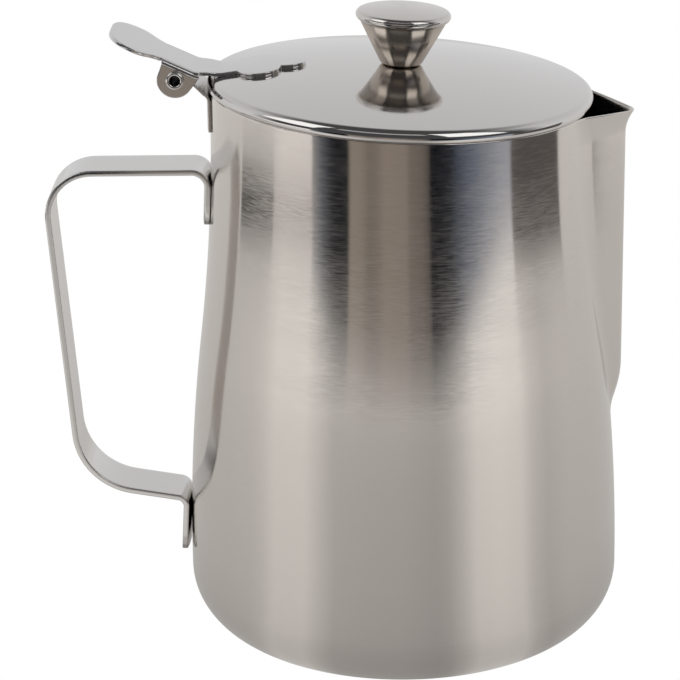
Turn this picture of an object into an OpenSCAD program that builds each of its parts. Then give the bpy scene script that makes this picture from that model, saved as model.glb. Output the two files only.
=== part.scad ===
// Hot milk jug with a hinged lid: drawn steel body with a pressed pouring spout, bent strap handle,
// domed lid with a thumb lever and a hollow cup-shaped knob. Millimetres, +Z up.
// Origin: centre of the flat the jug stands on, on the jug's axis. Handle and hinge lie on -X, spout on +X.

/* [Jug body] */
// height of the rim on the jug's axis
rim_h = 150; // [135:1:170]
// outer radius of the mouth
rim_r = 50.5; // [46:0.5:54]
// radius of the flat underside
base_r = 43.5; // [40:0.5:47]
// radius of the rounded bottom edge
corner_r = 15.8; // [12:0.2:18]
// sheet thickness of the body
wall = 0.8; // [0.6:0.1:1.2]
// fall of the rim and lid from the hinge to the spout, degrees
rim_slope = 3.1; // [0:0.1:5]

/* [Spout] */
// how far the nose of the spout stands out from the rim
spout_out = 9.7; // [8:0.1:12]
// radius of the nose of the spout
nose_r = 5.5; // [4:0.1:7]
// how far each side of the spout the flanks start, degrees
flank_at = 31.4; // [28:0.2:34]
// how far inside the rim's radius the flanks start
flank_in = 2.4; // [2:0.1:2.6]
// how far the lip curls out past the nose
lip_out = 2.1; // [1.5:0.1:3]
// height over which the lip curls out
lip_h = 6; // [4:0.5:9]
// radius of the nose at the lip
lip_nose_r = 3.8; // [3:0.1:5]
// extra fall of the spout edge, degrees
lip_dip = 6.2; // [3:0.2:9]
// length of the spout from the rim to where it starts to run into the body
spout_len = 76; // [60:1:90]
// height over which the spout runs into the body
foot_h = 16; // [12:1:22]
// how far the nose draws in over that height
foot_in = 4.6; // [4:0.1:7]
// radius of the nose where it vanishes
foot_nose_r = 10; // [8:0.5:14]
// width of the soft crease between the spout and the body
spout_blend = 1.2; // [0.5:0.1:2.5]

/* [Handle] */
// width of the handle strap
strap_w = 15.5; // [12:0.5:20]
// thickness of the handle strap
strap_t = 1.6; // [1.2:0.1:2.2]
// how far below the rim the middle of the top arm lies
arm_drop = 19.7; // [16:0.5:28]
// distance of the upper outer corner from the jug's axis
handle_reach = 95.5; // [90:0.5:110]
// how much nearer to the jug the lower outer corner lies
grip_lean = 6.3; // [0:0.1:12]
// height of the middle of the strap at the lower outer corner
arm_low_z = 41.1; // [36:0.5:50]
// fall of the bottom arm towards the jug, degrees
arm_slope = 9.6; // [4:0.2:14]
// length of the top flange down from the middle of the top arm
flange_top_len = 14.3; // [11:0.1:20]
// length of the bottom flange down from the bottom arm
flange_low_len = 14.7; // [11:0.1:18]
// how far the end of the bottom flange stands off the body
flange_spring = 0.9; // [0.1:0.1:1.5]
// bend radius of the top flange
bend_top_r = 4.2; // [3:0.1:6]
// bend radius of the upper outer corner
corner_top_r = 12.1; // [8:0.1:16]
// bend radius of the lower outer corner
corner_low_r = 18.2; // [12:0.2:24]
// bend radius of the bottom flange
bend_low_r = 3; // [2.4:0.1:5]
// width of the broken edge along the strap
strap_edge = 0.4; // [0.2:0.1:0.6]

/* [Hinge] */
// distance of the hinge pin from the jug's axis, along the lid
pin_x = 59.3; // [58:0.1:62]
// height of the hinge pin above the rim
pin_z = 2.9; // [2.4:0.1:3.4]
// outer radius of the tubular pin
pin_r = 1.9; // [1.5:0.1:2.2]
// radius of the hole through the tubular pin
pin_bore_r = 1.4; // [0.8:0.1:1.6]
// thickness of the rolled rings at the ends of the pin
pin_roll = 0.45; // [0.3:0.05:0.6]
// running clearance between the pin and the knuckle, on the radius
pin_gap = 0.07; // [0.04:0.01:0.1]
// thickness of the hinge bracket
bracket_t = 0.8; // [0.6:0.1:1]
// length of the bracket leg welded to the body, below its bend
bracket_leg = 9.6; // [7:0.1:14]
// bend radius of the bracket
bracket_bend = 2.6; // [2:0.1:4]
// turn of the bracket's sloping plate from the horizontal, degrees
bracket_turn = 134; // [128:1:138]
// how far the knuckle is rolled round the pin, degrees
knuckle_turn = 285; // [240:5:310]
// side clearance between the knuckle and each ear
side_gap = 0.35; // [0.2:0.05:0.6]

/* [Thumb lever] */
// sheet thickness of the lever
lever_t = 1; // [0.8:0.1:1.4]
// width of the lever over its ears
lever_w = 18.5; // [15:0.5:21]
// rise of the thumb end, degrees
lever_rise = 21.8; // [18:0.2:26]
// bend radius between the neck and the thumb end
lever_bend = 4; // [3:0.5:8]
// distance from the jug's axis to that bend
lever_bend_x = 53.2; // [52.6:0.1:54]
// width of the rounded thumb end
head_w = 23.2; // [20:0.2:26]
// distance from the jug's axis to the tip of the thumb end
head_tip_x = 78; // [74:0.5:84]
// length of the rounded thumb end
head_len = 13.6; // [10:0.2:15]
// radius of the corners of the thumb end
head_corner = 6.6; // [4:0.2:7]
// radius of each ear round the pin
ear_r = 4.8; // [4.4:0.1:5.2]
// length of each ear's root along the lever
ear_len = 10.6; // [10:0.1:11.4]
// outer bend radius of the ears
ear_bend = 1.5; // [1.2:0.1:2]
// distance from the jug's axis to the tip of the leaf on the lid
leaf_tip_x = 24.5; // [22:0.5:28]
// radius of the leaf's middle lobe
leaf_mid_r = 8.8; // [7:0.1:10]
// radius of the leaf's side lobes
leaf_side_r = 6.5; // [5:0.1:7.5]
// distance from the jug's axis to the middle of the side lobes
leaf_side_x = 38; // [36:0.5:40]
// width over the side lobes
leaf_w = 29.4; // [26:0.2:31]

/* [Lid] */
// outer radius of the lid
lid_r = 51.4; // [47:0.1:55]
// sheet thickness of the lid
lid_t = 0.7; // [0.5:0.1:1]
// height of the lid's crown above the rim
lid_top = 7.8; // [7:0.1:9]
// radius of the lid's dome
dome_r = 280; // [260:5:320]
// radius of the rounded lid edge
lid_edge_r = 2.2; // [1.8:0.1:2.6]
// width of the hem folded under the edge
hem_w = 3.4; // [2.4:0.1:5]
// clearance under the hem where the lid rests on the rim
rest_gap = 0.05; // [0.02:0.01:0.1]

/* [Knob] */
// largest radius of the knob
knob_r = 12.6; // [11:0.1:15]
// height of the knob's largest radius above the lid
knob_h = 13.1; // [11:0.1:16]
// sheet thickness of the knob's cup
cup_t = 0.7; // [0.5:0.1:1]
// radius of the rounded bottom edge of the cup
cup_round = 1.5; // [1:0.1:2]
// slant of the cup's side, degrees
cup_flare = 27.6; // [22:0.2:29]
// radius of the bead round the cap
bead_r = 1.25; // [1:0.05:1.6]
// crown of the cap above its bead
cap_crown = 0.9; // [0.5:0.1:1.4]
// depth of the crimp line under the bead
crimp = 0.25; // [0.15:0.05:0.4]
// radius of the screw
screw_r = 2; // [1.5:0.1:2.5]
// radius of the screw's head
screw_head_r = 3.6; // [3.2:0.1:4.5]
// height of the screw's head
screw_head_h = 1.5; // [1:0.1:2]
// width of the slot in the screw's head
slot_w = 0.9; // [0.6:0.1:1.2]
// length of the screw below its point, above the washer
screw_len = 7; // [6:0.5:9]
// outer radius of the threaded insert
insert_r = 3.3; // [3:0.1:4]
// height of the threaded insert
insert_h = 7; // [5:0.5:9]
// outer radius of the washer under the lid
washer_r = 5.2; // [4.6:0.1:7]
// thickness of the washer
washer_t = 0.8; // [0.5:0.1:1.2]
// clearance of the screw in the holes of the lid, cup and washer
hole_gap = 0.2; // [0.1:0.05:0.4]

/* [Hidden] */

// shared clearances and cuts
seat = 0.03;
over = 1;
steps = 8;
corner_steps = 6;
wall_steps = 17;
// how much closer together the wall's rings lie near the mouth
row_power = 1.5;

// directions of the body's columns, closer together towards the spout
columns = 96;
near_share = 0.3;
turns = [for (i = [1:columns]) let (u = 2 * i / columns - 1)
    180 * u * (near_share + (1 - near_share) * abs(u))];

// body profile: two tangent arcs between the belly and the mouth
belly_r = base_r + corner_r;
half_rise = (rim_h - corner_r) / 2;
half_draw = (belly_r - rim_r) / 2;
side_arc = (half_rise * half_rise + half_draw * half_draw) / (2 * half_draw);
mid_z = corner_r + half_rise;
function body_r(z) = z > rim_h ? rim_r
    : z > mid_z ? rim_r + side_arc - sqrt(pow(side_arc, 2) - pow(rim_h - z, 2))
    : z > corner_r ? belly_r - side_arc + sqrt(pow(side_arc, 2) - pow(z - corner_r, 2))
    : base_r + sqrt(pow(corner_r, 2) - pow(corner_r - z, 2));

// lid frame: origin on the jug's axis at the rim, tilted by the slope of the rim
function from_lid(p) = [p[0] * cos(rim_slope) + p[1] * sin(rim_slope),
    rim_h - p[0] * sin(rim_slope) + p[1] * cos(rim_slope)];
pin_c = from_lid([-pin_x, pin_z]);

// lid profile
dome_c = lid_top - dome_r;
edge_x = lid_r - lid_edge_r;
edge_z = dome_c + sqrt(pow(dome_r - lid_edge_r, 2) - pow(edge_x, 2));
edge_turn = atan2(edge_z - dome_c, edge_x);
hole_r = screw_r + hole_gap;
fold_r = edge_z - rest_gap;
hem_in = lid_r - fold_r - hem_w;
function lid_z(x) = dome_c + sqrt(pow(dome_r, 2) - pow(x, 2));

// a point at distance r in direction a
function polar(r, a) = [r * cos(a), r * sin(a)];
// points round centre c at distance r from direction a1 to a2
function arc(c, r, a1, a2, n) = [for (i = [0:n]) c + polar(r, a1 + (a2 - a1) * i / n)];
// side of a turn: 1 to the left, -1 to the right
function side(a1, a2) = a2 > a1 ? 1 : -1;
function side_of(a, s) = [-s * sin(a), s * cos(a)];
// stations [x, z, direction, crown] round a bend of radius r at corner m, from direction a1 to a2
function bend(m, a1, a2, r, k1, k2, n) =
    let (s = side(a1, a2), t = r * tan(abs(a2 - a1) / 2), c = m - polar(t, a1) + r * side_of(a1, s))
    [for (i = [0:n]) let (a = a1 + (a2 - a1) * i / n, p = c - r * side_of(a, s))
        [p[0], p[1], a, k1 + (k2 - k1) * i / n]];

// section of a strap: across, through
function strap_ring(w, t, e) = [
    [-w / 2, t / 2 - e], [-w / 2 + e, t / 2], [-w / 4, t / 2], [0, t / 2], [w / 4, t / 2],
    [w / 2 - e, t / 2], [w / 2, t / 2 - e], [w / 2, e - t / 2], [w / 2 - e, -t / 2], [w / 4, -t / 2],
    [0, -t / 2], [-w / 4, -t / 2], [e - w / 2, -t / 2], [-w / 2, e - t / 2]];

// faces of a skin over n rings of m points, closed at both ends
function skin(n, m) = concat(
    [[for (j = [0:m - 1]) j]],
    [for (i = [0:n - 2]) for (j = [0:m - 1]) [(i + 1) * m + j, i * m + (j + 1) % m, i * m + j]],
    [for (i = [0:n - 2]) for (j = [0:m - 1])
        [(i + 1) * m + j, (i + 1) * m + (j + 1) % m, i * m + (j + 1) % m]],
    [[for (j = [0:m - 1]) n * m - 1 - j]]);

// outline of a sheet of thickness t along a path
function ribbon(path, t) = concat(
    [for (s = path) [s[0], s[1]] + side_of(s[2], t / 2)],
    [for (i = [len(path) - 1:-1:0]) [path[i][0], path[i][1]] - side_of(path[i][2], t / 2)]);

// a bent strap: crowned across its width by the radius hug, where a station's crown is 1
module bent_strap(path, w, t, e, hug) {
    ring = strap_ring(w, t, e);
    pts = [for (s = path) for (q = ring)
        let (sag = s[3] * (hug - sqrt(hug * hug - q[0] * q[0])), h = q[1] + sag)
        [s[0] + h * sin(s[2]), q[0], s[1] - h * cos(s[2])]];
    polyhedron(pts, skin(len(path), len(ring)), convexity = 4);
}

// handle path, middle of the strap, from the end of the top flange to the end of the bottom one
arm_top_z = rim_h - arm_drop;
top_end = [-body_r(arm_top_z - flange_top_len) - strap_t / 2 - seat, arm_top_z - flange_top_len];
top_mid = [-body_r(arm_top_z) - strap_t / 2 - seat, arm_top_z];
top_turn = atan2(top_mid[1] - top_end[1], top_mid[0] - top_end[0]);
corner_top = [-handle_reach, arm_top_z];
corner_low = [-handle_reach + grip_lean, arm_low_z];
grip_turn = 360 + atan2(corner_low[1] - corner_top[1], corner_low[0] - corner_top[0]);
low_face = -body_r(arm_low_z) - strap_t / 2 - seat;
low_bend = corner_low + polar((low_face - corner_low[0]) / cos(arm_slope), -arm_slope);
low_end = [low_bend[0] - flange_spring, low_bend[1] - flange_low_len];
low_turn = 360 + atan2(low_end[1] - low_bend[1], low_end[0] - low_bend[0]);
handle_path = concat(
    [[top_end[0], top_end[1], top_turn, 1]],
    bend(top_mid, top_turn, 180, bend_top_r, 1, 0, steps),
    bend(corner_top, 180, grip_turn, corner_top_r, 0, 0, steps),
    bend(corner_low, grip_turn, 360 - arm_slope, corner_low_r, 0, 0, steps),
    bend(low_bend, 360 - arm_slope, low_turn, bend_low_r, 0, 1, steps),
    [[low_end[0], low_end[1], low_turn, 1]]);

// bracket path, middle of the sheet, from the foot of its leg to the end of the knuckle
roll_r = pin_r + pin_gap + bracket_t / 2;
roll_start = pin_c - roll_r * side_of(bracket_turn, 1);
leg_x = -body_r(rim_h) - bracket_t / 2 - seat;
leg_bend = roll_start + polar((leg_x - roll_start[0]) / cos(bracket_turn), bracket_turn);
leg_end = [leg_x, leg_bend[1] - bracket_leg];
plate_end = roll_start + polar(bracket_t / 4, bracket_turn);
bracket_path = concat(
    [[leg_end[0], leg_end[1], 90, 1]],
    bend(leg_bend, 90, bracket_turn, bracket_bend, 1, 0, steps / 2),
    [[plate_end[0], plate_end[1], bracket_turn, 0]]);
bracket_w = lever_w - 2 * lever_t - 2 * side_gap;

// spout: nose line and nose radius against height, and the flanks tangent to the nose from a fixed root
nose_x = rim_r + spout_out;
spout_root = polar(rim_r - flank_in, flank_at);
lip_z = rim_h - (nose_x + lip_out) * tan(rim_slope) - lip_out;
foot_z = rim_h - spout_len;
function lip_part(z) = max(0, (z - lip_z + lip_h) / lip_h);
function foot_part(z) = max(0, (foot_z - z) / foot_h);
function nose_line(z) = nose_x + lip_out * pow(lip_part(z), 2) - foot_in * pow(foot_part(z), 2);
function nose_round(z) = nose_r + (lip_nose_r - nose_r) * min(1, lip_part(z))
    + (foot_nose_r - nose_r) * min(1, foot_part(z));
function flank_angle(c, r) =
    let (v = spout_root - [c, 0]) atan2(v[1], v[0]) - acos(r / norm(v));
// distance from the jug's axis to the spout, drawn in by d, in direction a at height z
function spout_at(a, z, d) =
    let (r = nose_round(z), c = nose_line(z) - r, turn = flank_angle(c, r),
        t = polar(r - d, turn) + [c, 0])
    abs(a) > turn ? 0
    : abs(a) > atan2(t[1], t[0]) ? (c * cos(turn) + r - d) / cos(abs(a) - turn)
    : c * cos(a) + sqrt(pow(r - d, 2) - pow(c * sin(a), 2));
function soft_max(a, b, k) = max(a, b) + pow(max(k - abs(a - b), 0), 2) / (4 * k);
function wall_at(a, z, d) = soft_max(body_r(z) - d, spout_at(a, z, d), spout_blend);

// height of the mouth's edge in direction a
dip_x = rim_r - spout_out / 2;
function edge_at(a) =
    let (x = wall_at(a, lip_z, 0) * cos(a))
    rim_h - x * tan(rim_slope) - max(0, x - dip_x) * tan(lip_dip);

// body rings [height, radius] below the wall, drawn in by d, from the middle outwards
function foot_rings(d) = [
    for (p = arc([base_r, corner_r], corner_r - d, -90, 0, corner_steps)) [p[1], p[0]]];
function ring(z, r) = [for (a = turns) [r * cos(a), r * sin(a), z]];
function wall_ring(i, d) = [for (a = turns)
    let (z = edge_at(a) - (edge_at(a) - corner_r) * pow(1 - i / wall_steps, row_power), r = wall_at(a, z, d))
    [r * cos(a), r * sin(a), z]];

module lid_frame() {
    translate([0, 0, rim_h])
        rotate([0, rim_slope, 0])
            children();
}

module jug_body() {
    rings = concat(
        [for (f = foot_rings(0)) ring(f[0], f[1])],
        [for (i = [1:wall_steps]) wall_ring(i, 0)],
        [for (i = [wall_steps:-1:1]) wall_ring(i, wall)],
        [for (i = [corner_steps:-1:0]) let (f = foot_rings(wall)[i]) ring(f[0], f[1])]);
    color("silver")
        polyhedron([for (r = rings) each r], skin(len(rings), len(turns)), convexity = 6);
}

module handle_strap() {
    color("gainsboro")
        bent_strap(handle_path, strap_w, strap_t, strap_edge, body_r(arm_top_z));
}

module hinge_bracket() {
    open_a = bracket_turn - 90;
    open_b = open_a + knuckle_turn - 360;
    gap_cut = 3 * roll_r;
    color("darkgray") {
        bent_strap(bracket_path, bracket_w, bracket_t - seat, bracket_t / 6, body_r(rim_h));
        translate([pin_c[0], 0, pin_c[1]])
            rotate([90, 0, 0])
                difference() {
                    cylinder(r = roll_r + bracket_t / 2, h = bracket_w, center = true, $fn = 64);
                    cylinder(r = pin_r + pin_gap, h = 2 * bracket_w, center = true, $fn = 64);
                    linear_extrude(height = 2 * bracket_w, center = true)
                        polygon([[0, 0], for (a = [open_b, (open_a + open_b) / 2, open_a]) polar(gap_cut, a)]);
                }
    }
}

module hinge_pin() {
    head = lever_w / 2 + seat + pin_roll;
    color("white")
        lid_frame()
            translate([-pin_x, 0, pin_z])
                rotate([90, 0, 0])
                    difference() {
                        union() {
                            cylinder(r = pin_r, h = 2 * head, center = true, $fn = 48);
                            for (s = [-1, 1])
                                translate([0, 0, s * head])
                                    rotate_extrude($fn = 48)
                                        translate([pin_r, 0])
                                            circle(pin_roll, $fn = 24);
                        }
                        cylinder(r = pin_bore_r, h = 2 * head + 2 * over, center = true, $fn = 48);
                    }
}

// lever side view in the lid's frame, middle of the sheet, from the leaf to the tip
neck_in = edge_x - lid_edge_r - over;
neck_z = lid_z(neck_in) + seat;
bend_c = [-lever_bend_x, neck_z + lever_t + lever_bend];
lever_knee = [-lever_bend_x - (lever_bend + lever_t / 2) * tan(lever_rise / 2), neck_z + lever_t / 2];
tip_run = head_tip_x + lever_knee[0];
lever_path = concat(
    [[-neck_in, neck_z + lever_t / 2, 180]],
    bend(lever_knee, 180, 180 - lever_rise, lever_bend + lever_t / 2, 0, 0, steps),
    [[-head_tip_x - over, lever_knee[1] + (tip_run + over) * tan(lever_rise), 180 - lever_rise]]);
head_root = head_tip_x - head_len;
ear_top = -pin_x + ear_len / 2;

module thumb_lever() {
    color("lightsteelblue")
        lid_frame()
            difference() {
                union() {
                    // leaf pressed to the dome
                    intersection() {
                        translate([0, 0, neck_z - over])
                            linear_extrude(height = lid_top)
                                leaf_outline();
                        rotate_extrude($fn = 144)
                            polygon(concat(leaf_arc(seat, 1), leaf_arc(seat + lever_t, -1)));
                    }
                    // neck and thumb end
                    intersection() {
                        rotate([90, 0, 0])
                            linear_extrude(height = leaf_w, center = true)
                                polygon(ribbon(lever_path, lever_t));
                        translate([0, 0, -over])
                            linear_extrude(height = head_tip_x)
                                neck_outline();
                    }
                    ears();
                }
                translate([-pin_x, 0, pin_z])
                    rotate([90, 0, 0])
                        cylinder(r = pin_r + seat, h = 2 * lever_w, center = true, $fn = 48);
            }
}

// section of the leaf's sheet, h above the dome, run outwards or back
function leaf_arc(h, run) =
    let (a = acos((leaf_tip_x - over) / dome_r), b = acos((neck_in + over) / dome_r))
    run > 0 ? arc([0, dome_c], dome_r + h, a, b, steps) : arc([0, dome_c], dome_r + h, b, a, steps);

module leaf_outline() {
    side_y = leaf_w / 2 - leaf_side_r;
    leaf_end = neck_in + lever_t / 4;
    translate([-leaf_tip_x - leaf_mid_r, 0])
        circle(leaf_mid_r, $fn = 64);
    for (s = [-1, 1])
        translate([-leaf_side_x, s * side_y])
            circle(leaf_side_r, $fn = 64);
    polygon([[-leaf_end, -lever_w / 2], [-leaf_side_x - leaf_side_r / 2, -side_y - leaf_side_r / 2],
        [-leaf_side_x, -side_y], [-leaf_tip_x - leaf_mid_r, -leaf_mid_r / 2],
        [-leaf_tip_x - leaf_mid_r, leaf_mid_r / 2], [-leaf_side_x, side_y],
        [-leaf_side_x - leaf_side_r / 2, side_y + leaf_side_r / 2], [-leaf_end, lever_w / 2]]);
}

module neck_outline() {
    mid = (head_tip_x + head_root) / 2;
    // neck, up to the ears
    translate([ear_top, -lever_w / 2])
        square([-neck_in - ear_top, lever_w]);
    // web between the rounded ear bends
    translate([-head_root - over, ear_bend - lever_w / 2])
        square([head_root + over - neck_in, lever_w - 2 * ear_bend]);
    // thumb end
    translate([-head_root - head_len / 4, -lever_w / 2])
        square([head_len / 4 + head_root + ear_top - ear_len, lever_w]);
    translate([head_corner - head_tip_x, -head_w / 2])
        square([head_len - head_corner - head_len / 6, head_w]);
    translate([-head_tip_x, head_corner - head_w / 2])
        square([head_corner + over, head_w - 2 * head_corner]);
    for (s = [-1, 1]) {
        translate([head_corner - head_tip_x, s * (head_w / 2 - head_corner)])
            circle(head_corner, $fn = 64);
        translate([-head_root - head_len / 6, s * (head_w / 2 - head_len / 6)])
            circle(head_len / 6, $fn = 32);
    }
    translate([-head_root - head_len / 6, head_len / 6 - head_w / 2])
        square([head_len / 6, head_w - head_len / 3]);
}

// two ears bent down from the edges of the lever
module ears() {
    depth = lever_bend + 3 * ear_r;
    // the web between the ears lies just inside the sheet
    web_top = lever_bend + seat;
    web_low = lever_bend + lever_t - seat;
    intersection() {
        translate([bend_c[0], 0, bend_c[1]])
            rotate([0, lever_rise - 90, 0])
                linear_extrude(height = head_tip_x)
                    difference() {
                        channel(lever_w / 2, web_top, ear_bend, depth);
                        channel(lever_w / 2 - lever_t, web_low, ear_bend - lever_t, depth + over);
                    }
        rotate([90, 0, 0])
            linear_extrude(height = 2 * lever_w, center = true)
                ear_side();
    }
    for (s = [-1, 1])
        translate([0, s * (lever_w - lever_t) / 2, 0])
            rotate([90, 0, 0])
                linear_extrude(height = lever_t, center = true)
                    intersection() {
                        ear_side();
                        translate(bend_c)
                            rotate(-lever_rise)
                                translate([-2 * depth, -2 * depth])
                                    square([3 * depth, 2 * depth - lever_bend - ear_bend]);
                    }
}

// rounded channel section: half width w, top at depth d, corner radius r, down to depth b
module channel(w, d, r, b) {
    half = concat(arc([-d - r, w - r], r, 0, 90, steps), [[-b, w]]);
    polygon(concat(half, [for (i = [len(half) - 1:-1:0]) [half[i][0], -half[i][1]]]));
}

module ear_side() {
    root_z = neck_z + lever_t;
    polygon(concat([[ear_top, root_z + ear_len], [ear_top, root_z - lever_t / 2]],
        arc([-pin_x, pin_z], ear_r, 0, -180, 2 * steps), [[ear_top - ear_len, root_z + ear_len]]));
}

// lid section, outer skin from the screw hole to the hem, then back inside
function lid_skin(d) = concat(
    arc([0, dome_c], dome_r - d, acos(hole_r / (dome_r - d)), edge_turn, 2 * steps),
    arc([edge_x, edge_z], lid_edge_r - d, edge_turn - 1, 0, steps),
    arc([lid_r - fold_r, edge_z], fold_r - d, -90 / steps, -90, steps - 1),
    [[hem_in, rest_gap + d]]);

module lid_disc() {
    inner = lid_skin(lid_t);
    color("silver")
        lid_frame()
            rotate_extrude($fn = 144)
                polygon(concat(lid_skin(0), [for (i = [len(inner) - 1:-1:0]) inner[i]]));
}

// knob, in the lid's frame
foot_z0 = lid_top + seat;
cup_rim_r = knob_r - bead_r + crimp;
cup_rim_z = foot_z0 + knob_h - bead_r;
insert_z = foot_z0 + cup_t + seat;
washer_z = dome_c + sqrt(pow(dome_r - lid_t, 2) - pow(washer_r, 2)) - seat - washer_t;

// cup outline, drawn in by d: a cone with a rounded bottom edge
foot_r = cup_rim_r - (cup_rim_z - foot_z0) * tan(cup_flare) - cup_round * tan(45 - cup_flare / 2);
cup_c = [foot_r, foot_z0 + cup_round];
module cup_section(d) {
    side_top = [cup_rim_r - d / cos(cup_flare), cup_rim_z];
    side_low = cup_c + polar(cup_round - d, -cup_flare);
    polygon([[0, foot_z0 + d], [foot_r, foot_z0 + d], side_low, side_top,
        side_top + polar(d + seat, 90), [0, cup_rim_z + d + seat]]);
    translate(cup_c)
        circle(cup_round - d, $fn = 64);
}

module knob_cup() {
    color("gainsboro")
        lid_frame()
            rotate_extrude($fn = 96)
                difference() {
                    intersection() {
                        cup_section(0);
                        square([knob_r, cup_rim_z]);
                    }
                    cup_section(cup_t);
                    square([hole_r, 2 * lid_top]);
                }
}

module knob_cap() {
    color("silver")
        lid_frame()
            rotate_extrude($fn = 96) {
                translate([knob_r - bead_r, cup_rim_z + seat + bead_r])
                    circle(bead_r, $fn = 48);
                polygon([[0, cup_rim_z + seat + bead_r], [knob_r - bead_r, cup_rim_z + seat],
                    [knob_r - bead_r, cup_rim_z + seat + 2 * bead_r],
                    [0, cup_rim_z + seat + 2 * bead_r + cap_crown]]);
            }
}

module knob_insert() {
    color("goldenrod")
        lid_frame()
            rotate_extrude($fn = 48)
                translate([screw_r + seat, insert_z])
                    square([insert_r - screw_r - seat, insert_h]);
}

module knob_screw() {
    color("white")
        lid_frame()
            difference() {
                union() {
                    translate([0, 0, washer_z - seat - over / 2])
                        cylinder(r = screw_r, h = washer_t + lid_t + screw_len, $fn = 48);
                    translate([0, 0, washer_z - seat - screw_head_h])
                        cylinder(r = screw_head_r, h = screw_head_h, $fn = 48);
                }
                translate([-screw_head_r - over, -slot_w / 2, washer_z - seat - screw_head_h - over])
                    cube([2 * screw_head_r + 2 * over, slot_w, over + screw_head_h / 2]);
            }
}

module knob_washer() {
    color("darkgray")
        lid_frame()
            rotate_extrude($fn = 48)
                translate([hole_r, washer_z])
                    square([washer_r - hole_r, washer_t]);
}

jug_body();
handle_strap();
hinge_bracket();
hinge_pin();
thumb_lever();
lid_disc();
knob_cup();
knob_cap();
knob_insert();
knob_screw();
knob_washer();
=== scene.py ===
import math

import bmesh
import bpy
from mathutils import Matrix, Vector


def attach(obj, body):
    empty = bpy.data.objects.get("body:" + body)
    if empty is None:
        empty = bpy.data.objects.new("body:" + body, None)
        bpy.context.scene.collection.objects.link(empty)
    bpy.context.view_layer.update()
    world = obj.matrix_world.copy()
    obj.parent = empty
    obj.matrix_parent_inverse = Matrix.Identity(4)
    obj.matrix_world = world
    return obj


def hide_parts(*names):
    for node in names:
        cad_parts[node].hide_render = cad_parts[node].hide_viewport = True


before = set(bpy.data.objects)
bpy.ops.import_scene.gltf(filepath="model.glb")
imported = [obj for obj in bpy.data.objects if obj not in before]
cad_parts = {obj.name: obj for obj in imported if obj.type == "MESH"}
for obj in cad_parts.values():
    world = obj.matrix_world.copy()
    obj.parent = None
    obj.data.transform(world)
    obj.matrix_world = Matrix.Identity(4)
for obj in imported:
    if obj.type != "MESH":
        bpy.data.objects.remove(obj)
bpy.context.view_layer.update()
scene = bpy.context.scene
scene.view_settings.view_transform = "Standard"

# The jug body: one sheet of stainless steel 0.8 mm thick, drawn to a belly and necked in to the
# mouth, with a spout pressed out of the wall. The spout's flanks run tangent to a rounded nose and
# meet the wall in a soft crease, and the lip curls out over its last few millimetres.
wall = 0.0008
rim_h, rim_r = 0.150, 0.0505
base_r, corner_r = 0.0435, 0.0158
rim_slope = math.radians(3.1)
half_rise = (rim_h - corner_r) / 2
half_draw = (base_r + corner_r - rim_r) / 2
side_arc = (half_rise ** 2 + half_draw ** 2) / (2 * half_draw)
rim_round = 0.00034


def body_radius(z):
    """Outer radius of the plain body at a height: two tangent arcs between the belly and the mouth."""
    if z > rim_h:
        return rim_r
    if z > corner_r + half_rise:
        return rim_r + side_arc - math.sqrt(side_arc ** 2 - (rim_h - z) ** 2)
    if z > corner_r:
        return base_r + corner_r - side_arc + math.sqrt(side_arc ** 2 - (z - corner_r) ** 2)
    return base_r + math.sqrt(max(corner_r ** 2 - (corner_r - z) ** 2, 0))


nose_x, nose_r, lip_nose_r, foot_nose_r = 0.0602, 0.0055, 0.0038, 0.010
lip_out, lip_h, foot_in, foot_h = 0.0021, 0.006, 0.0046, 0.016
root_r, root_turn, foot_drop = 0.0481, math.radians(31.4), 0.076
root = Vector((root_r * math.cos(root_turn), root_r * math.sin(root_turn)))
lip_z = rim_h - (nose_x + lip_out) * math.tan(rim_slope) - lip_out
foot_z = rim_h - foot_drop
crease = 0.0016


def spout_radius(turn, z, inset):
    """Distance from the jug's axis to the spout in a direction at a height, drawn in by an inset."""
    lip = max(0, (z - lip_z + lip_h) / lip_h)
    foot = max(0, (foot_z - z) / foot_h)
    r = nose_r + (lip_nose_r - nose_r) * min(1, lip) + (foot_nose_r - nose_r) * min(1, foot)
    c = nose_x + lip_out * lip ** 2 - foot_in * foot ** 2 - r
    to_root = root - Vector((c, 0))
    flank = math.atan2(to_root.y, to_root.x) - math.acos(r / to_root.length)
    tangent = math.atan2((r - inset) * math.sin(flank), (r - inset) * math.cos(flank) + c)
    turn = abs(turn)
    if turn > flank:
        return 0
    if turn > tangent:
        return (c * math.cos(flank) + r - inset) / math.cos(turn - flank)
    return c * math.cos(turn) + math.sqrt((r - inset) ** 2 - (c * math.sin(turn)) ** 2)


def wall_radius(turn, z, inset=0.0):
    """The larger of plain body and spout, with a soft crease where they meet."""
    plain, spout = body_radius(z) - inset, spout_radius(turn, z, inset)
    return max(plain, spout) + max(crease - abs(plain - spout), 0) ** 2 / (4 * crease)


lip_fall_x, lip_fall = 0.04565, math.radians(6.2)


def mouth_height(turn):
    """Height of the mouth's edge: the sloping rim, falling a little faster along the spout."""
    x = wall_radius(turn, lip_z) * math.cos(turn)
    return rim_h - x * math.tan(rim_slope) - max(0, x - lip_fall_x) * math.tan(lip_fall)


# Directions round the wall are close together over the spout, which spans 28 degrees to each side.
# The wall's rows lie closer together towards the mouth, by a power.
spout_turns = [math.radians(0.4 * i) for i in range(-70, 71)]
wall_turns = spout_turns + [math.radians(28 + 304 * i / 200) for i in range(1, 200)]
row_power = 1.3


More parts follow.
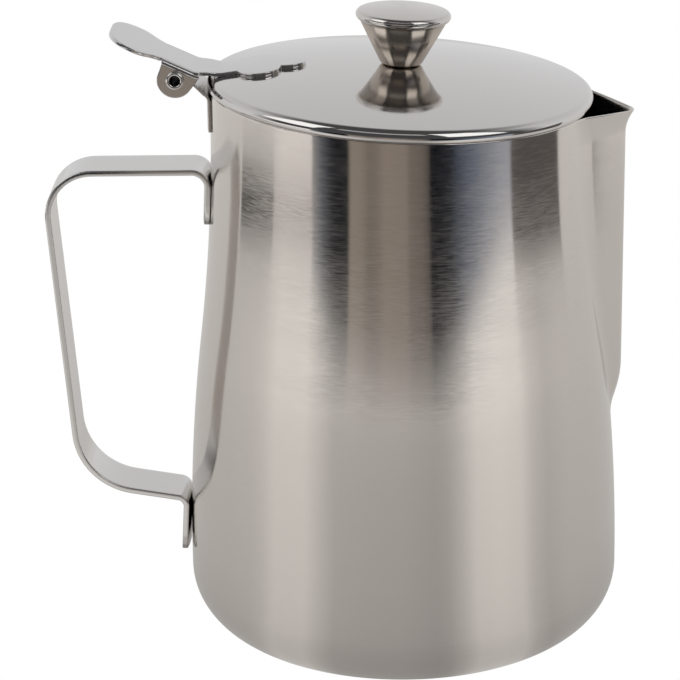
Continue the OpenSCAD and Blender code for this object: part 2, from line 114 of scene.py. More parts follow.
def wall_ring(share, inset, lower):
    """One ring of the wall, its share of the way from the bottom corner to the mouth."""
    points = []
    for turn in wall_turns:
        signed = turn if turn < math.pi else turn - 2 * math.pi
        ring_top = mouth_height(signed) - lower
        z = ring_top - (ring_top - corner_r) * (1 - share) ** row_power
        r = wall_radius(signed, z, inset)
        points.append((r * math.cos(turn), r * math.sin(turn), z))
    return points


def flat_ring(r, z):
    return [(r * math.cos(turn), r * math.sin(turn), z) for turn in wall_turns]


def arc(centre, radius, start, end, count):
    """Points round a centre in a plane, angles in degrees."""
    turns = [math.radians(start + (end - start) * i / count) for i in range(count + 1)]
    return [(centre[0] + radius * math.cos(a), centre[1] + radius * math.sin(a)) for a in turns]


def add_skin(mesh_edit, rings, ends=True):
    """Adds a skin over closed rings: with end faces, or joined back to the first ring."""
    rows = [[mesh_edit.verts.new(p) for p in ring] for ring in rings]
    for low, high in zip(rows, rows[1:] if ends else rows[1:] + rows[:1]):
        for j in range(len(low)):
            k = (j + 1) % len(low)
            mesh_edit.faces.new((low[j], low[k], high[k], high[j]))
    if ends:
        mesh_edit.faces.new(reversed(rows[0]))
        mesh_edit.faces.new(rows[-1])


def finished_piece(name, mesh_edit, body, slot, material, *nodes):
    """Turns an edit mesh into a smooth piece that rides on a body and stands for CAD nodes."""
    bmesh.ops.recalc_face_normals(mesh_edit, faces=mesh_edit.faces)
    for face in mesh_edit.faces:
        face.smooth = True
    mesh = bpy.data.meshes.new(name)
    mesh_edit.to_mesh(mesh)
    mesh_edit.free()
    piece = bpy.data.objects.new(name, mesh)
    scene.collection.objects.link(piece)
    piece.data.materials.append(material)
    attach(piece, body)
    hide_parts(*nodes)
    return piece


corner_centre = (base_r, corner_r)
floor_radii = (0.0002, 0.015, 0.03, 0.0405)
wall_rows = [i / 110 for i in range(111)]
body_rings = [flat_ring(r, 0.0) for r in floor_radii + (0.0432,)]
body_rings += [flat_ring(r, z) for r, z in arc(corner_centre, corner_r, -88, -2, 20)]
body_rings += [wall_ring(share, 0, rim_round) for share in wall_rows]
over_rim = [(rim_round * (1 - math.cos(math.radians(a))), rim_round * (1 - math.sin(math.radians(a))))
            for a in (22, 45, 68, 90)]
body_rings += [wall_ring(1, inset, lower) for inset, lower in over_rim]
body_rings += [wall_ring(1, wall - inset, lower) for inset, lower in reversed(over_rim)]
body_rings += [wall_ring(share, wall, rim_round) for share in reversed(wall_rows)]
body_rings += [flat_ring(r, z) for r, z in arc(corner_centre, corner_r - wall, -2, -88, 20)]
body_rings += [flat_ring(r, wall) for r in reversed(floor_radii)]
body_mesh = bmesh.new()
add_skin(body_mesh, body_rings)


def linear(hex_colour):
    """An sRGB hex colour as linear red, green, blue and alpha."""
    parts = [int(hex_colour[i:i + 2], 16) / 255 for i in (1, 3, 5)]
    return [p / 12.92 if p <= 0.04045 else ((p + 0.055) / 1.055) ** 2.4 for p in parts] + [1.0]


def add_node(tree, kind, stops=(), **values):
    """Adds a shader node. A value named after a socket sets it or links another node's output to it,
    and stops are the positions and linear colours of a ramp."""
    made = tree.nodes.new("ShaderNode" + kind)
    if stops:
        made.color_ramp.elements.remove(made.color_ramp.elements[1])
    for i, (position, colour) in enumerate(stops):
        stop = made.color_ramp.elements[0] if i == 0 else made.color_ramp.elements.new(position)
        stop.position, stop.color = position, colour
    for name, value in values.items():
        if hasattr(made, name):
            setattr(made, name, value)
            continue
        socket = made.inputs[int(name[1:])] if name[1:].isdigit() else made.inputs[name.replace("_", " ")]
        if isinstance(value, bpy.types.NodeSocket):
            tree.links.new(value, socket)
        else:
            socket.default_value = value
    return made


def empty_material(name):
    """A material with only its output left, its node tree, and that output."""
    made = bpy.data.materials.new(name)
    made.use_nodes = True
    made.node_tree.nodes.clear()
    return made, made.node_tree, made.node_tree.nodes.new("ShaderNodeOutputMaterial")


# Stainless steel brushed with fine grit that runs round the piece, so reflections smear up and down
# and stay sharp from side to side. Real grit lines are under 0.1 mm apart and wouldn't show, so they
# are drawn 0.16 to 0.2 mm apart. Patches of 25 by 6 mm are a little duller or brighter than the rest.
def brushed_steel(name, tint, rough, spread, lines_mm, along_mm, bump):
    patch_along_mm, patch_up_mm, patch_spread = 25, 6.25, 0.08
    made, tree, out = empty_material(name)
    place = add_node(tree, "TexCoord").outputs["Object"]
    fine = add_node(tree, "Mapping", Vector=place)
    fine.inputs["Scale"].default_value = (1000 / along_mm, 1000 / along_mm, 1000 / lines_mm)
    grain = add_node(tree, "TexNoise", Vector=fine.outputs[0], Scale=1.0, Detail=4.0, Roughness=0.6)
    wide = add_node(tree, "Mapping", Vector=place)
    wide.inputs["Scale"].default_value = (1000 / patch_along_mm, 1000 / patch_along_mm, 1000 / patch_up_mm)
    cloud = add_node(tree, "TexNoise", Vector=wide.outputs[0], Scale=1.0, Detail=3.0, Roughness=0.55)
    level = add_node(
        tree, "MapRange", Value=grain.outputs[0], From_Min=0.3, From_Max=0.7, To_Min=rough - spread,
        To_Max=rough + spread)
    patch = add_node(
        tree, "Math", operation="MULTIPLY_ADD", _0=cloud.outputs[0], _1=patch_spread, _2=level.outputs[0])
    drift = add_node(tree, "Math", operation="SUBTRACT", _0=patch.outputs[0], _1=patch_spread / 2)
    shade = add_node(tree, "MapRange", Value=grain.outputs[0], To_Min=0.93, To_Max=1.03)
    colour = add_node(tree, "VectorMath", operation="SCALE", _0=linear(tint)[:3], Scale=shade.outputs[0])
    relief = add_node(tree, "Bump", Strength=bump, Distance=0.00004, Height=grain.outputs[0])
    grain_way = add_node(tree, "Tangent", direction_type="RADIAL", axis="Z")
    metal = add_node(
        tree, "BsdfPrincipled", Base_Color=colour.outputs[0], Metallic=1.0, Roughness=drift.outputs[0],
        Anisotropic=0.85, Anisotropic_Rotation=0.25, Normal=relief.outputs[0], Tangent=grain_way.outputs[0])
    tree.links.new(metal.outputs[0], out.inputs["Surface"])
    return made


body_finish = brushed_steel("brushed body steel", "#dcd7d2", 0.13, 0.05, 0.2, 3.5, 0.07)
finished_piece("jug_body_sheet", body_mesh, "jug", "satin_body", body_finish, "jug_body")

# The handle: one strap of stainless steel 15.5 by 1.6 mm, bent to a loop. Its end flanges lie on the
# body, dished to the wall, where they are spot welded. The edges are rolled and polished.
strap_w, strap_t, strap_round = 0.0155, 0.0016, 0.00045
arm_z, low_z, reach, lean = 0.1303, 0.0411, 0.0955, 0.0063
arm_fall = math.radians(9.6)
top_flange, low_flange, low_spring = 0.0143, 0.0147, 0.0009
bend_radii = [0, 0.0042, 0.0121, 0.0182, 0.003, 0]
seat = 0.00003


def bent_path(corners, radii, crowns, count=14):
    """Stations [x, z, heading, crown] along a path that turns at each inner corner on its radius."""
    stations = []
    for i, corner in enumerate(corners):
        here = Vector(corner)
        if i in (0, len(corners) - 1):
            run = Vector(corners[1]) - here
            heading = stations[-1][2] if stations else math.atan2(run.y, run.x)
            stations.append((here.x, here.y, heading, crowns[i][0]))
            continue
        a, b = (here - Vector(corners[i - 1])).normalized(), (Vector(corners[i + 1]) - here).normalized()
        turn = math.atan2(a.x * b.y - a.y * b.x, a.dot(b))
        start = stations[-1][2]
        side = math.copysign(1, turn)
        centre = here - a * radii[i] * math.tan(abs(turn) / 2) + Vector((-a.y, a.x)) * side * radii[i]
        for k in range(count + 1):
            heading = start + turn * k / count
            normal = Vector((-math.sin(heading), math.cos(heading))) * side
            point = centre - normal * radii[i]
            crown = crowns[i][0] + (crowns[i][1] - crowns[i][0]) * k / count
            stations.append((point.x, point.y, heading, crown))
    return stations


def finer(stations, step):
    """The same path with extra stations along its long straight runs."""
    made = [stations[0]]
    for before, after in zip(stations, stations[1:]):
        count = max(1, int(math.dist(before[:2], after[:2]) / step))
        for k in range(1, count + 1):
            made.append(tuple(p + (q - p) * k / count for p, q in zip(before, after)))
    return made


def strip_section(width, thick, rounding):
    """Closed section of a strip with rounded edges: across, through."""
    section = []
    for sx, sy, start in ((1, 1, 0), (-1, 1, 90), (-1, -1, 180), (1, -1, 270)):
        corner = (sx * (width / 2 - rounding), sy * (thick / 2 - rounding))
        section += arc(corner, rounding, start, start + 90, 5)
        if start in (0, 180):
            section += [(sx * (width / 2 - rounding) * (1 - k / 6), sy * thick / 2) for k in range(1, 12)]
    return section


def sweep_strip(stations, section, hug):
    """An edit mesh of a section swept along stations, dished across by a radius where crown is 1."""
    rings = []
    for x, z, heading, crown in stations:
        ring = []
        for across, through in section:
            rise = through + crown * (hug - math.sqrt(hug ** 2 - across ** 2))
            ring.append((x + rise * math.sin(heading), across, z - rise * math.cos(heading)))
        rings.append(ring)
    made = bmesh.new()
    add_skin(made, rings)
    return made


# Polished stainless steel, with the faint swirl and haze that a polishing wheel leaves: clouds some
# millimetres across and specks of 0.4 mm. Sheet edges can be eased by a rounded normal.
def polished_steel(name, tint, rough, haze_mm, haze, edge=0.0):
    made, tree, out = empty_material(name)
    place = add_node(tree, "TexCoord").outputs["Object"]
    wide = add_node(tree, "TexNoise", Vector=place, Scale=1000 / haze_mm, Detail=4.0, Roughness=0.6)
    fine = add_node(tree, "TexNoise", Vector=place, Scale=2600.0, Detail=2.0, Roughness=0.5)
    mixed = add_node(tree, "Math", operation="MULTIPLY_ADD", _0=fine.outputs[0], _1=0.4, _2=wide.outputs[0])
    level = add_node(
        tree, "MapRange", Value=mixed.outputs[0], From_Min=0.4, From_Max=1.0, To_Min=rough - haze,
        To_Max=rough + haze)
    relief = add_node(tree, "Bump", Strength=0.06, Distance=0.00002, Height=fine.outputs[0])
    if edge:
        eased_edge = add_node(tree, "Bevel", samples=6, Radius=edge)
        tree.links.new(eased_edge.outputs[0], relief.inputs["Normal"])
    metal = add_node(
        tree, "BsdfPrincipled", Base_Color=linear(tint), Metallic=1.0, Roughness=level.outputs[0],
        Normal=relief.outputs[0])
    tree.links.new(metal.outputs[0], out.inputs["Surface"])
    return made


off_wall = strap_t / 2 + seat
top_end = (-body_radius(arm_z - top_flange) - off_wall, arm_z - top_flange)
top_mid = (-body_radius(arm_z) - off_wall, arm_z)
corner_low = (-reach + lean, low_z)
low_x = -body_radius(low_z) - off_wall
low_mid = (low_x, low_z - (low_x - corner_low[0]) * math.tan(arm_fall))
low_end = (low_mid[0] - low_spring, low_mid[1] - low_flange)
handle_path = bent_path(
    [top_end, top_mid, (-reach, arm_z), corner_low, low_mid, low_end],
    bend_radii,
    [(1, 1), (1, 0), (0, 0), (0, 0), (0, 1), (1, 1)])
handle_section = strip_section(strap_w, strap_t, strap_round)
handle_mesh = sweep_strip(finer(handle_path, 0.004), handle_section, body_radius(arm_z))
strap_finish = polished_steel("strap steel", "#e0dedc", 0.16, 6.0, 0.04)
finished_piece("handle_strap_bent", handle_mesh, "jug", "handle_steel", strap_finish, "handle_strap")


# The hinge bracket: a leg and a sloping plate of stainless sheet, spot welded to the wall under the
# rim, with a knuckle rolled round the pin. Its CAD shape is kept and given its polish.
def finish_node(name, finish):
    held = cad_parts[name]
    for place in held.material_slots:
        place.material = finish
    if not held.material_slots:
        held.data.materials.append(finish)


hinge_finish = polished_steel("hinge steel", "#cfccca", 0.2, 4.0, 0.05, 0.0002)
finish_node("hinge_bracket", hinge_finish)

# The lid: a disc of 0.7 mm stainless sheet pressed to a shallow dome, its edge rolled over and hemmed
# under, so the hem lies on the rim. The dome is polished like a mirror. The lid's own frame has its
# origin on the jug's axis at the mouth, and is tilted with the rim.
lid_frame = Matrix.Translation((0, 0, rim_h)) @ Matrix.Rotation(rim_slope, 4, "Y")
lid_r, lid_t, crown_h, dome_r = 0.0514, 0.0007, 0.0078, 0.280
lid_edge_r, lid_rest, screw_hole_r = 0.0022, 0.00005, 0.0022
hem_mid, hem_end = 0.0017, 0.0034
dome_z = crown_h - dome_r
edge_x = lid_r - lid_edge_r
edge_z = dome_z + math.sqrt((dome_r - lid_edge_r) ** 2 - edge_x ** 2)
edge_turn = math.degrees(math.atan2(edge_z - dome_z, edge_x))
fold = edge_z - lid_rest


def spun(profile, steps, matrix, closed=True):
    """An edit mesh of an outline of radius and height points, spun once round the upright axis."""
    made = bmesh.new()
    verts = [made.verts.new((r, 0, z)) for r, z in profile]
    pairs = list(zip(verts, verts[1:] + verts[:1])) if closed else list(zip(verts, verts[1:]))
    edges = [made.edges.new(pair) for pair in pairs]
    bmesh.ops.spin(
        made, geom=verts + edges, cent=(0, 0, 0), axis=(0, 0, 1), angle=2 * math.pi, steps=steps,
        use_merge=True)
    bmesh.ops.remove_doubles(made, verts=made.verts, dist=1e-7)
    bmesh.ops.transform(made, matrix=matrix, verts=made.verts)
    return made


def lid_skin(inset):
    """One face of the lid's sheet, from the screw's hole over the dome and the rolled edge to the hem."""
    hole = math.degrees(math.acos(screw_hole_r / (dome_r - inset)))
    skin = arc((0, dome_z), dome_r - inset, hole, edge_turn, 60)
    skin += arc((edge_x, edge_z), lid_edge_r - inset, edge_turn, 0, 20)[1:]
    skin += arc((lid_r - fold, edge_z), fold - inset, 0, -90, 10)[1:]
    return skin + [(lid_r - fold - run, lid_rest + inset) for run in (hem_mid, hem_end)]


lid_mesh = spun(lid_skin(0) + lid_skin(lid_t)[::-1], 288, lid_frame)
lid_finish = polished_steel("mirror lid steel", "#dddad8", 0.07, 9.0, 0.02)
finished_piece("lid_domed", lid_mesh, "lid", "polished_lid", lid_finish, "lid_disc")

# The knob's cup: a cone of 0.7 mm stainless sheet with a small rounded foot, turned on a lathe to a
# satin grain and screwed down through the lid.
knob_r, knob_h, bead_r, crimp, cup_t = 0.0126, 0.0131, 0.00125, 0.00025, 0.0007
flare, cup_round = 27.6, 0.0015
cup_foot_z = crown_h + seat
cup_r, cup_z = knob_r - bead_r + crimp, cup_foot_z + knob_h - bead_r
tilt = math.radians(flare)
cup_foot_r = cup_r - (cup_z - cup_foot_z) * math.tan(tilt) - cup_round * math.tan(math.pi / 4 - tilt / 2)
cup_centre = (cup_foot_r, cup_foot_z + cup_round)
cup_outline = [(screw_hole_r, cup_foot_z)] + arc(cup_centre, cup_round, -90, -flare, 12)
cup_outline += [(cup_r, cup_z), (cup_r - cup_t / math.cos(tilt), cup_z)]
cup_outline += arc(cup_centre, cup_round - cup_t, -flare, -90, 12) + [(screw_hole_r, cup_foot_z + cup_t)]
cup_mesh = spun(cup_outline, 128, lid_frame)
cup_finish = brushed_steel("turned cup steel", "#bdb3a8", 0.2, 0.03, 0.16, 8.0, 0.08)
finished_piece("knob_cup_cone", cup_mesh, "lid", "knob_steel", cup_finish, "knob_cup")

# The knob's cap: a stainless disc with a rolled bead, turned to a fine grain, crimped over the cup
# and very slightly crowned.
cap_low = cup_z + seat
cap_crown, bead_end = 0.0009, 78
bead_centre = (knob_r - bead_r, cap_low + bead_r)
cap_outline = [(0.0, cap_low + bead_r), (knob_r - 2.2 * bead_r, cap_low + 0.9 * bead_r)]
cap_outline += arc(bead_centre, bead_r, -90, bead_end, 22)
cap_top = cap_low + 2 * bead_r + cap_crown
bead_end_r, bead_end_z = cap_outline[-1]
for k in range(1, 13):
    share = 1 - k / 12
    cap_outline.append((bead_end_r * share, bead_end_z + (cap_top - bead_end_z) * (1 - share ** 2)))
cap_mesh = spun(cap_outline, 128, lid_frame, closed=False)
cap_finish = brushed_steel("turned cap steel", "#dedad6", 0.13, 0.03, 0.16, 8.0, 0.06)
finished_piece("knob_cap_disc", cap_mesh, "lid", "knob_steel", cap_finish, "knob_cap")

# The knob's fixings: a turned brass insert inside the cup, and a zinc-plated steel screw and washer
# up through the lid. Their CAD shapes are kept. Zinc is greyer and duller than the polished steel.
brass_finish = polished_steel("turned brass", "#c9a35b", 0.3, 3.0, 0.05, 0.0002)
screw_finish = polished_steel("zinc screw steel", "#b9babb", 0.32, 3.0, 0.06, 0.0002)
finish_node("knob_insert", brass_finish)
finish_node("knob_screw", screw_finish)
finish_node("knob_washer", screw_finish)

# The thumb lever: one pressing of 1 mm stainless sheet, polished. A trefoil leaf is spot welded to
# the dome, a neck carries two ears bent down to the hinge pin, and a rounded thumb end rises behind
# them. Lengths here are in mm in the lid's own frame, and x runs from the thumb end to the leaf.
lever_t, lever_edge = 1.0, 0.2
pin_x, pin_z = -59.3, 2.9
rise_turn, rise_bend, rise_x = math.radians(21.8), 4, -53.2
neck_top, neck_x, neck_blend = 5.026, -51, 5
above_dome = lever_t + 0.03
bend_end_x = rise_x - rise_bend * math.sin(rise_turn)
bend_end_z = neck_top + rise_bend - rise_bend * math.cos(rise_turn)


def lever_top(x, y):
    """Height of the lever's upper face: on the dome, level over the rim, and rising behind it."""
    if x < bend_end_x:
        return bend_end_z + (bend_end_x - x) * math.tan(rise_turn)
    if x < rise_x:
        return neck_top + rise_bend - math.sqrt(rise_bend ** 2 - (x - rise_x) ** 2)
    dome = 1000 * dome_z + math.sqrt((1000 * dome_r + above_dome) ** 2 - x * x - y * y)
    share = min(1, max(0, (x - neck_x) / neck_blend))
    share = share * share * (3 - 2 * share)
    return neck_top + (dome - neck_top) * share


def through_points(points, count):
    """A smooth line through points, with a count of steps between each pair."""
    padded = [points[0]] + points + [points[-1]]
    line = []
    for a, b, c, d in zip(padded, padded[1:], padded[2:], padded[3:]):
        for k in range(count):
            t = k / count
            line.append(tuple(
                0.5 * (2 * q + (r - p) * t + (2 * p - 5 * q + 4 * r - s) * t * t
                       + (3 * q - p - 3 * r + s) * t ** 3)
                for p, q, r, s in zip(a, b, c, d)))
    return line + [points[-1]]


thumb_side = [(-77, 0.3), (-76.93, 3), (-76.6, 5.8), (-75.9, 8.2), (-74.8, 10.1), (-73.2, 11.4), (-71.3, 12),
              (-69.3, 12), (-67.4, 11.1), (-65.8, 9.7), (-64.3, 8.8), (-63.2, 8.4)]
ear_side = [(-62.9, 7.8), (-58, 7.8), (-53.2, 7.8)]
leaf_side = [(-52.9, 8.1), (-51, 7.6), (-48, 6.8), (-44, 6.2), (-38, 5.8), (-31, 4.2)]
side_line = through_points(thumb_side, 8) + through_points(ear_side, 6) + through_points(leaf_side, 14)
leaf_lobes = [(-37.4, 5.2, 5.6), (-29.9, 0, 4.6)]


def half_width(x):
    """Half the lever's width at a place along it: its side line, or a lobe of the leaf that stands out."""
    widths = [y + math.sqrt(r * r - (x - c) ** 2) for c, y, r in leaf_lobes if abs(x - c) < r]
    for (x0, y0), (x1, y1) in zip(side_line, side_line[1:]):
        if x0 <= x <= x1 and x1 > x0:
            widths.append(y0 + (y1 - y0) * (x - x0) / (x1 - x0))
    return max(widths)


def lever_ring(x):
    """One closed section across the lever: the upper face, a rounded edge, and the lower face back."""
    w = half_width(x)
    soft = min(lever_edge, w / 2)
    lean_back = math.atan((lever_top(x + 0.01, 0) - lever_top(x - 0.01, 0)) / 0.02)
    section = [((w - soft) * k / 8, 0) for k in range(8)]
    for a in [math.radians(22.5 * k) for k in range(5)]:
        section.append((w - soft + soft * math.sin(a), lever_edge * (1 - math.cos(a))))
    section += [(y, lever_t - depth) for y, depth in reversed(section)]
    section += [(-y, depth) for y, depth in reversed(section) if y > 0]
    return [
        ((x + depth * math.sin(lean_back)) / 1000, y / 1000,
         (lever_top(x, y) - depth * math.cos(lean_back)) / 1000)
        for y, depth in section]


# Sections along the lever, closer together at its two rounded ends.
sections = [-76.98 + 0.04 * k for k in range(12)] + [-76.5 + 0.12 * k for k in range(423)]
sections += [-25.72 + 0.03 * k for k in range(14)]
lever_mesh = bmesh.new()
add_skin(lever_mesh, [lever_ring(x) for x in sections])

# Each ear: a bend that turns down from the lever's edge, and a flat plate below it with a hole that
# takes the pin. The plate's edges are rounded through pairs of inset and depth.
ear_from, ear_len, ear_r, ear_hole = -62.9, 9.9, 4.8, 1.93
ear_face, bend_in, bend_out = 9.25, 0.5, 1.5
ear_arc_from, ear_arc_to = 323.7, 172
bend_y = ear_face - bend_out
ear_round = [(0, 0.15), (0.05, 0.05), (0.15, 0), (0.22, 0)]
along_ear = [ear_from + ear_len * k / 40 for k in range(41)]
ear_roots = [(x, lever_top(x, 0) - bend_out) for x in along_ear]
ear_outline = ear_roots + arc((pin_x, pin_z), ear_r, ear_arc_from, ear_arc_to, 40)
ear_turns = [math.atan2(z - pin_z, x - pin_x) for x, z in ear_outline]
ear_reach = [math.dist(point, (pin_x, pin_z)) for point in ear_outline]
outer_half = [(ear_face - sink, "rim", inset) for inset, sink in ear_round]
outer_half += [(ear_face - sink, "hole", inset) for inset, sink in reversed(ear_round)]
inner_half = [(2 * ear_face - lever_t - y, place, inset) for y, place, inset in reversed(outer_half)]
for side in (-1, 1):
    bends = []
    for x, z in ear_roots:
        section = arc((bend_y, z), bend_out, 90, 0, 8) + arc((bend_y, z), bend_in, 0, 90, 8)
        bends.append([(x / 1000, side * y / 1000, height / 1000) for y, height in section])
    add_skin(lever_mesh, bends)
    plate = []
    for y, place, inset in outer_half + inner_half:
        reaches = [r - inset if place == "rim" else ear_hole + inset for r in ear_reach]
        plate.append([
            ((pin_x + r * math.cos(turn)) / 1000, side * y / 1000, (pin_z + r * math.sin(turn)) / 1000)
            for r, turn in zip(reaches, ear_turns)])
    add_skin(lever_mesh, plate, ends=False)
bmesh.ops.transform(lever_mesh, matrix=lid_frame, verts=lever_mesh.verts)
lever_finish = polished_steel("pressed lever steel", "#dddbda", 0.13, 5.0, 0.03, 0.00025)
finished_piece("thumb_lever_pressed", lever_mesh, "lid", "polished_lever", lever_finish, "thumb_lever")

# The hinge pin: a tube of steel that holds the ears to the knuckle. Its ends are rolled outward over
# the ears into bright rings. Its bore runs right through and was never polished, and its near-black
# colour is painted shade for the dark inside of the tube.
pin_r, pin_bore_r, pin_roll = 0.00187, 0.00135, 0.00052
bore_reach = 1.02 * pin_bore_r
pin_head = ear_face / 1000 + seat + pin_roll
bore_depths = [0.0004 * k for k in range(1, 6)]
pin_outline = arc((pin_r, pin_head), pin_roll, -90, 180, 24)
pin_outline += [(pin_bore_r, pin_head - depth) for depth in bore_depths]
pin_outline += [(r, -z) for r, z in reversed(pin_outline)]
lying = Matrix.Translation((pin_x / 1000, 0, pin_z / 1000)) @ Matrix.Rotation(math.radians(90), 4, "X")
pin_mesh = spun(pin_outline, 96, lid_frame @ lying)
ring_finish = polished_steel("rolled pin steel", "#e2e0de", 0.1, 4.0, 0.02)
# The bore's colour is painted shade: near black for the dark inside of the tube. Its higher roughness is the
# unpolished steel.
bore_painted_shade = polished_steel("rough bore steel painted dark as shade", "#4a4541", 0.55, 2.0, 0.08)
rolled_pin = finished_piece("hinge_pin_rolled", pin_mesh, "lid", "hinge_steel", ring_finish, "hinge_pin")
# The bore's faces take a second material, coloured near black as painted shade.
rolled_pin.data.materials.append(bore_painted_shade)
to_pin = (lid_frame @ lying).inverted()
for face in rolled_pin.data.polygons:
    middle = to_pin @ face.center
    if math.hypot(middle.x, middle.y) < bore_reach:
        face.material_index = 1


# The floor: a wide pale sweep under the jug. The camera sees it as plain white, and the steel
# reflects it a little greyer.
def staging(name, corners, material):
    """A flat piece of the set between its corners."""
    mesh = bpy.data.meshes.new(name)
    mesh.from_pydata(corners, [], [list(range(len(corners)))])
    made = bpy.data.objects.new(name, mesh)
    made.data.materials.append(material)
    scene.collection.objects.link(made)
    return made


floor_paint, tree, out = empty_material("white floor")
glow = add_node(tree, "Emission", Color=linear("#f7f5f3"), Strength=0.72)
white = add_node(tree, "Emission", Color=(1, 1, 1, 1), Strength=1.0)
path = add_node(tree, "LightPath")
mixed = add_node(tree, "MixShader", _0=path.outputs["Is Camera Ray"], _1=glow.outputs[0], _2=white.outputs[0])
tree.links.new(mixed.outputs[0], out.inputs["Surface"])
floor_z = -0.0004
staging("floor", [(-3, -3, floor_z), (3, -3, floor_z), (3, 3, floor_z), (-3, 3, floor_z)], floor_paint)

# The floor in front of the jug, where the lower body looks. Two lit strips of it show as pale bands
# down the body, and it dims towards the foot. Strips are pairs of direction in degrees from straight
# in front and level, and fades are pairs of distance in metres and level.
strips = [(-150, 0.64), (-115, 0.64), (-95, 0.66), (-86, 0.71), (-76, 0.84), (-56, 0.84), (-47, 0.7),
          (-38, 0.57), (-20, 0.54), (0, 0.52), (18, 0.48), (25, 0.52), (33, 0.66), (41, 0.84),
          (55, 0.88), (69, 0.84), (77, 0.68), (88, 0.59), (105, 0.64), (150, 0.64)]
fades = [(0.06, 0.74), (0.085, 0.82), (0.11, 0.89), (0.165, 0.94), (0.32, 1.0), (0.5, 1.05), (0.56, 1.15),
         (0.62, 1.24)]
fan_out = 0.045


def way_round(tree):
    """How far to the side and to the front of the jug a point lies, and its direction from the front."""
    split = add_node(tree, "SeparateXYZ", Vector=add_node(tree, "TexCoord").outputs["Object"])
    forward = add_node(tree, "Math", operation="MULTIPLY", _0=split.outputs["Y"], _1=-1.0).outputs[0]
    turn = add_node(tree, "Math", operation="ARCTAN2", _0=split.outputs["X"], _1=forward)
    return split.outputs["X"], forward, turn.outputs[0]


front_paint, tree, out = empty_material("front floor")
sideways, forward, turn = way_round(tree)
flat = add_node(tree, "CombineXYZ", X=sideways, Y=forward).outputs[0]
away = add_node(tree, "VectorMath", operation="LENGTH", _0=flat).outputs["Value"]
draw = add_node(tree, "Math", operation="DIVIDE", _0=fan_out, _1=away).outputs[0]
fanned = add_node(tree, "Math", operation="MULTIPLY_ADD", _0=turn, _1=draw, _2=turn).outputs[0]
share = add_node(
    tree, "MapRange", Value=fanned, From_Min=-math.pi, From_Max=math.pi, To_Min=0.0, To_Max=1.0)
across = add_node(
    tree, "ValToRGB", Fac=share.outputs[0], stops=[(0.5 + t / 360, (v, v, v, 1)) for t, v in strips])
along = add_node(tree, "ValToRGB", Fac=away, stops=[(d, (v, v, v, 1)) for d, v in fades])
level = add_node(tree, "Math", operation="MULTIPLY", _0=across.outputs[0], _1=along.outputs[0])
glow = add_node(tree, "Emission", Color=linear("#fbf8f5"), Strength=level.outputs[0])
tree.links.new(glow.outputs[0], out.inputs["Surface"])
front_z = 0.0006
front_corners = [(-2, 0.6, front_z), (-2, -2.5, front_z), (2, -2.5, front_z), (2, 0.6, front_z)]
front_floor = staging("front floor", front_corners, front_paint)
front_floor.visible_camera = False
front_floor.visible_diffuse = False

# What stands round the jug in a small studio and shows in its upper body: a dark thing on each side
# of a brown one in front, a blue-grey one to the right, and a grey one to the left. All of it is one
# curved screen 0.2 m from the jug: direction, heights in mm of its lower and upper edge, and colour.
screen_r, screen_glow, full = 0.2, 1.44, 148
screen = [
    (-98, 80, 96, "#1c1a18"), (-72, 86, 98, "#201e1c"), (-71, 88, 97, "#86817e"), (-47, 89, 100, "#8a8582"),
    (-46, 85, full, "#77777a"), (-41, 81, full, "#42464d"), (-36.5, 78, full, "#1a1d23"),
    (-34, 77, full, "#080b10"), (-27, 75, full, "#080b10"), (-26, 75, full, "#7f776e"),
    (-20, 74, full, "#7a726a"), (-16, 73, full, "#6a635c"), (-12, 72, full, "#6f6761"),
    (-8, 72, full, "#7d746c"), (3, 71, full, "#79716a"), (4.5, 71, full, "#6a635d"),
    (11, 71, full, "#605954"), (14.5, 71, full, "#4a4542"), (15.5, 71, full, "#080b10"),
    (21, 73, full, "#0b0e14"), (25.6, 75, full, "#161a22"), (31, 77, full, "#3b424e"),
    (38, 81, full, "#555c69"), (46, 85, full, "#70757f"), (53, 88, full, "#82868f"),
    (60, 90, full, "#8d9098"), (61.2, 84, full, "#4a4644"), (73.5, 82, full, "#444140"),
    (97, 78, full, "#4a4644")]
card_span = 3
screen_first, screen_last = screen[0][0], screen[-1][0]
screen_paint, tree, out = empty_material("studio things")
share = add_node(
    tree, "MapRange", Value=way_round(tree)[2], From_Min=math.radians(screen_first),
    From_Max=math.radians(screen_last), To_Min=0.0, To_Max=1.0)
across = add_node(tree, "ValToRGB", Fac=share.outputs[0], stops=[
    ((turn - screen_first) / (screen_last - screen_first), linear(colour)) for turn, _, _, colour in screen])
glow = add_node(tree, "Emission", Color=across.outputs[0], Strength=screen_glow)
tree.links.new(glow.outputs[0], out.inputs["Surface"])


def reflected_only(made):
    """Lets a piece of the set light or darken reflections without being seen itself."""
    made.visible_camera = False
    made.visible_diffuse = False
    made.visible_shadow = False


def round_jug(radius, turn, z):
    """A point of the set at a distance from the jug's axis, in a direction in radians from the front."""
    return (radius * math.sin(turn), -radius * math.cos(turn), z)


for before, after in zip(screen, screen[1:]):
    pieces = max(1, round((after[0] - before[0]) / card_span))
    for k in range(pieces):
        ends = [[p + (q - p) * (k + end) / pieces for p, q in zip(before[:3], after[:3])] for end in (0, 1)]
        (first, first_low, first_high), (last, last_low, last_high) = ends
        corners = [(first, first_low), (last, last_low), (last, last_high), (first, first_high)]
        card = [round_jug(screen_r, math.radians(way), z / 1000) for way, z in corners]
        reflected_only(staging("studio thing", card, screen_paint))

# The lamps: two tall soft panels and a dimmer strip between them, 1.2 m from the jug. They give the
# bright lines on the lid's edge, the knob and the rim.
lamp_r = 1.2


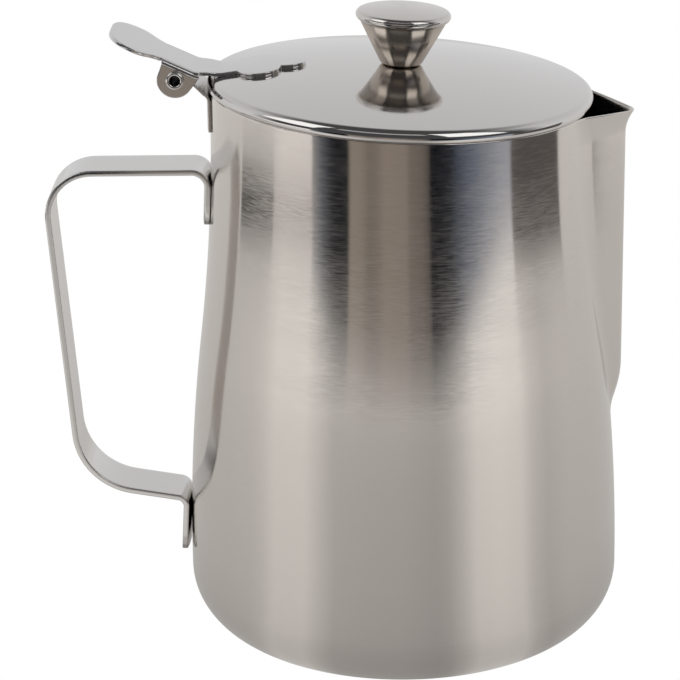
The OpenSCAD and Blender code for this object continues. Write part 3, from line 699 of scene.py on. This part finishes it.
def soft_box(name, first, last, low, high, level):
    """A lit panel between two directions and two heights in degrees."""
    paint, tree, out = empty_material(name)
    glow = add_node(tree, "Emission", Color=linear("#ffffff"), Strength=level)
    tree.links.new(glow.outputs[0], out.inputs["Surface"])
    for i in range(6):
        a = math.radians(first + (last - first) * i / 6)
        b = math.radians(first + (last - first) * (i + 1) / 6)
        card = [
            round_jug(lamp_r * math.cos(math.radians(height)), turn, lamp_r * math.sin(math.radians(height)))
            for turn, height in ((a, low), (b, low), (b, high), (a, high))]
        reflected_only(staging(name, card, paint))


soft_box("left panel", -88, -50, 28, 63, 1.25)
soft_box("right panel", 30, 68, 28, 63, 1.25)
soft_box("middle strip", -40, 22, 48, 58, 0.5)

# The room: a pale wall behind the jug that dims with height, and an unlit room overhead and in front.
# The camera sees it as plain white.
world = bpy.data.worlds.new("soft room")
scene.world = world
world.use_nodes = True
sky = world.node_tree
sky.nodes.clear()
split = add_node(sky, "SeparateXYZ", Vector=add_node(sky, "TexCoord").outputs["Generated"])
pale_wall = add_node(sky, "ValToRGB", Fac=split.outputs["Z"], stops=[
    (0.0, (0.74, 0.745, 0.755, 1)), (0.35, (0.68, 0.68, 0.6868, 1)), (0.66, (0.61, 0.61, 0.6161, 1)),
    (0.82, (0.3, 0.3, 0.303, 1)), (0.9, (0.08, 0.08, 0.0808, 1)), (1.0, (0.07, 0.07, 0.072, 1))])
behind = add_node(
    sky, "MapRange", Value=split.outputs["Y"], From_Min=-0.25, From_Max=0.1, To_Min=0.0, To_Max=1.0)
room = add_node(
    sky, "MixRGB", _0=behind.outputs[0], _1=(0.07, 0.07, 0.073, 1), _2=pale_wall.outputs[0])
path = add_node(sky, "LightPath")
seen = add_node(sky, "MixRGB", _0=path.outputs["Is Camera Ray"], _1=room.outputs[0], _2=(1, 1, 1, 1))
back = add_node(sky, "Background", Color=seen.outputs[0], Strength=1.0)
world_out = sky.nodes.new("ShaderNodeOutputWorld")
sky.links.new(back.outputs[0], world_out.inputs["Surface"])

# The camera stands 0.72 m in front of the jug and looks down a little under twenty degrees. Its
# turns are in radians, and it has a long lens.
camera_place, lens_mm, sensor_mm = (0, -0.720, 0.33795), 147.43, 36
pitch, yaw, roll = 0.343899, -0.023505, -0.015853
ahead = Vector((math.sin(yaw) * math.cos(pitch), math.cos(yaw) * math.cos(pitch), -math.sin(pitch)))
level_right = Vector((math.cos(yaw), -math.sin(yaw), 0))
level_up = level_right.cross(ahead)
right = math.cos(roll) * level_right + math.sin(roll) * level_up
up = -math.sin(roll) * level_right + math.cos(roll) * level_up
camera_data = bpy.data.cameras.new("camera")
camera = bpy.data.objects.new("camera", camera_data)
scene.collection.objects.link(camera)
turned = Matrix((right, up, -ahead)).transposed().to_4x4()
camera.matrix_world = Matrix.Translation(camera_place) @ turned
camera_data.lens = lens_mm
camera_data.sensor_width = sensor_mm
camera_data.clip_start = 0.01
scene.camera = camera
